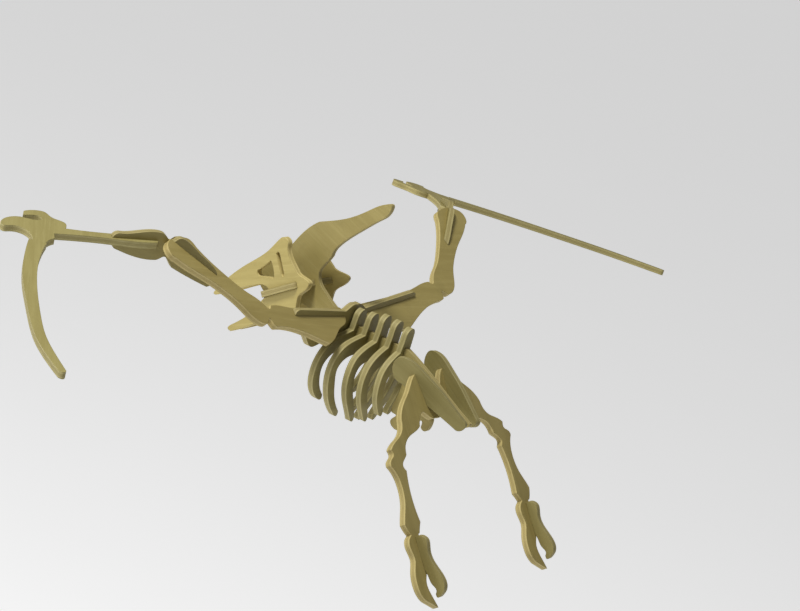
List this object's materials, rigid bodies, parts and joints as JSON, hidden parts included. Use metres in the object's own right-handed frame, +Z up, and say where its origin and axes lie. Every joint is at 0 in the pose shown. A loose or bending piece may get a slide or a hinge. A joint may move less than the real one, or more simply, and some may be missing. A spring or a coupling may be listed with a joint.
{
  "type": "wooden 3d jigsaw flying reptile skeleton",
  "caption": "Slot-together plywood skeleton of a flying pteranodon with swept wings, open rib cage and trailing clawed legs.",
  "frame": {"origin": "hanging point: middle of the backbone plate's top edge, midway between the second and third ribs, where the finished skeleton is hung from a thread", "axes": "+X towards the beak, +Y to the animal's left, +Z up, square to the backbone plate's top edge"},
  "size_m": [0.2003, 0.5806, 0.1507],
  "materials": {
    "spine": "unfinished laser-cut birch plywood",
    "rib_1": "unfinished laser-cut birch plywood",
    "rib_2": "unfinished laser-cut birch plywood",
    "rib_3": "unfinished laser-cut birch plywood",
    "rib_4": "unfinished laser-cut birch plywood",
    "rib_5": "unfinished laser-cut birch plywood",
    "shoulder_yoke": "unfinished laser-cut birch plywood",
    "palate_crossbar": "unfinished laser-cut birch plywood",
    "legs": "unfinished laser-cut birch plywood",
    "arm_left": "unfinished laser-cut birch plywood",
    "arm_right": "unfinished laser-cut birch plywood",
    "wrist_brace_left": "unfinished laser-cut birch plywood",
    "wrist_brace_right": "unfinished laser-cut birch plywood",
    "hand_left": "unfinished laser-cut birch plywood",
    "hand_right": "unfinished laser-cut birch plywood",
    "skull_side_left": "unfinished laser-cut birch plywood",
    "skull_side_right": "unfinished laser-cut birch plywood",
    "pelvis_side_left": "unfinished laser-cut birch plywood",
    "pelvis_side_right": "unfinished laser-cut birch plywood",
    "toe_left": "unfinished laser-cut birch plywood",
    "toe_right": "unfinished laser-cut birch plywood"
  },
  "bodies": {
    "spine": {"spine": "spine"},
    "rib_1": {"rib_1": "rib_1"},
    "rib_2": {"rib_2": "rib_2"},
    "rib_3": {"rib_3": "rib_3"},
    "rib_4": {"rib_4": "rib_4"},
    "rib_5": {"rib_5": "rib_5"},
    "shoulder_yoke": {"shoulder_yoke": "shoulder_yoke"},
    "palate_crossbar": {"palate_crossbar": "palate_crossbar"},
    "legs": {"legs": "legs"},
    "arm_left": {"arm_left": "arm_left"},
    "arm_right": {"arm_right": "arm_right"},
    "wrist_brace_left": {"wrist_brace_left": "wrist_brace_left"},
    "wrist_brace_right": {"wrist_brace_right": "wrist_brace_right"},
    "hand_left": {"hand_left": "hand_left"},
    "hand_right": {"hand_right": "hand_right"},
    "skull_side_left": {"skull_side_left": "skull_side_left"},
    "skull_side_right": {"skull_side_right": "skull_side_right"},
    "pelvis_side_left": {"pelvis_side_left": "pelvis_side_left"},
    "pelvis_side_right": {"pelvis_side_right": "pelvis_side_right"},
    "toe_left": {"toe_left": "toe_left"},
    "toe_right": {"toe_right": "toe_right"}
  },
  "joints": [
    {"name": "rib_1_lift", "type": "slide", "parent": "spine", "child": "rib_1", "axis": [0, 0, 1], "range_m": [0, 0.003]},
    {"name": "rib_2_lift", "type": "slide", "parent": "spine", "child": "rib_2", "axis": [0, 0, 1], "range_m": [0, 0.012]},
    {"name": "rib_3_lift", "type": "slide", "parent": "spine", "child": "rib_3", "axis": [0, 0, 1], "range_m": [0, 0.012]},
    {"name": "rib_4_lift", "type": "slide", "parent": "spine", "child": "rib_4", "axis": [0, 0, 1], "range_m": [0, 0.012]},
    {"name": "rib_5_lift", "type": "slide", "parent": "spine", "child": "rib_5", "axis": [0, 0, 1], "range_m": [0, 0.012]},
    {"name": "yoke_lift", "type": "slide", "parent": "spine", "child": "shoulder_yoke", "axis": [0, 0, 1], "range_m": [0, 0.012]},
    {"name": "palate_pull", "type": "slide", "parent": "spine", "child": "palate_crossbar", "axis": [0.8192, 0, -0.5736], "range_m": [0, 0.012]},
    {"name": "legs_pull", "type": "slide", "parent": "spine", "child": "legs", "axis": [-0.6293, 0, -0.7771], "range_m": [0, 0.01]},
    {"name": "arm_left_pull", "type": "slide", "parent": "shoulder_yoke", "child": "arm_left", "axis": [0, 0.9957, 0.0927], "range_m": [0, 0.02]},
    {"name": "wrist_brace_left_pull", "type": "slide", "parent": "arm_left", "child": "wrist_brace_left", "axis": [0.4791, 0.7633, 0.4333], "range_m": [0, 0.014]},
    {"name": "hand_left_pull", "type": "slide", "parent": "wrist_brace_left", "child": "hand_left", "axis": [0.5678, 0.8154, -0.1132], "range_m": [0, 0.014]},
    {"name": "skull_side_left_pull", "type": "slide", "parent": "palate_crossbar", "child": "skull_side_left", "axis": [0, 1, 0], "range_m": [0, 0.008]},
    {"name": "pelvis_side_left_pull", "type": "slide", "parent": "legs", "child": "pelvis_side_left", "axis": [0.6211, 0.1606, 0.7671], "range_m": [0, 0.008]},
    {"name": "toe_left_pull", "type": "slide", "parent": "legs", "child": "toe_left", "axis": [-0.7771, 0, 0.6293], "range_m": [0, 0.006]},
    {"name": "arm_right_pull", "type": "slide", "parent": "shoulder_yoke", "child": "arm_right", "axis": [0, -0.9957, 0.0927], "range_m": [0, 0.02]},
    {"name": "wrist_brace_right_pull", "type": "slide", "parent": "arm_right", "child": "wrist_brace_right", "axis": [0.4791, -0.7633, 0.4333], "range_m": [0, 0.014]},
    {"name": "hand_right_pull", "type": "slide", "parent": "wrist_brace_right", "child": "hand_right", "axis": [0.5678, -0.8154, -0.1132], "range_m": [0, 0.014]},
    {"name": "skull_side_right_pull", "type": "slide", "parent": "palate_crossbar", "child": "skull_side_right", "axis": [0, -1, 0], "range_m": [0, 0.008]},
    {"name": "pelvis_side_right_pull", "type": "slide", "parent": "legs", "child": "pelvis_side_right", "axis": [0.6211, -0.1606, 0.7671], "range_m": [0, 0.008]},
    {"name": "toe_right_pull", "type": "slide", "parent": "legs", "child": "toe_right", "axis": [-0.7771, 0, 0.6293], "range_m": [0, 0.006]}
  ]
}
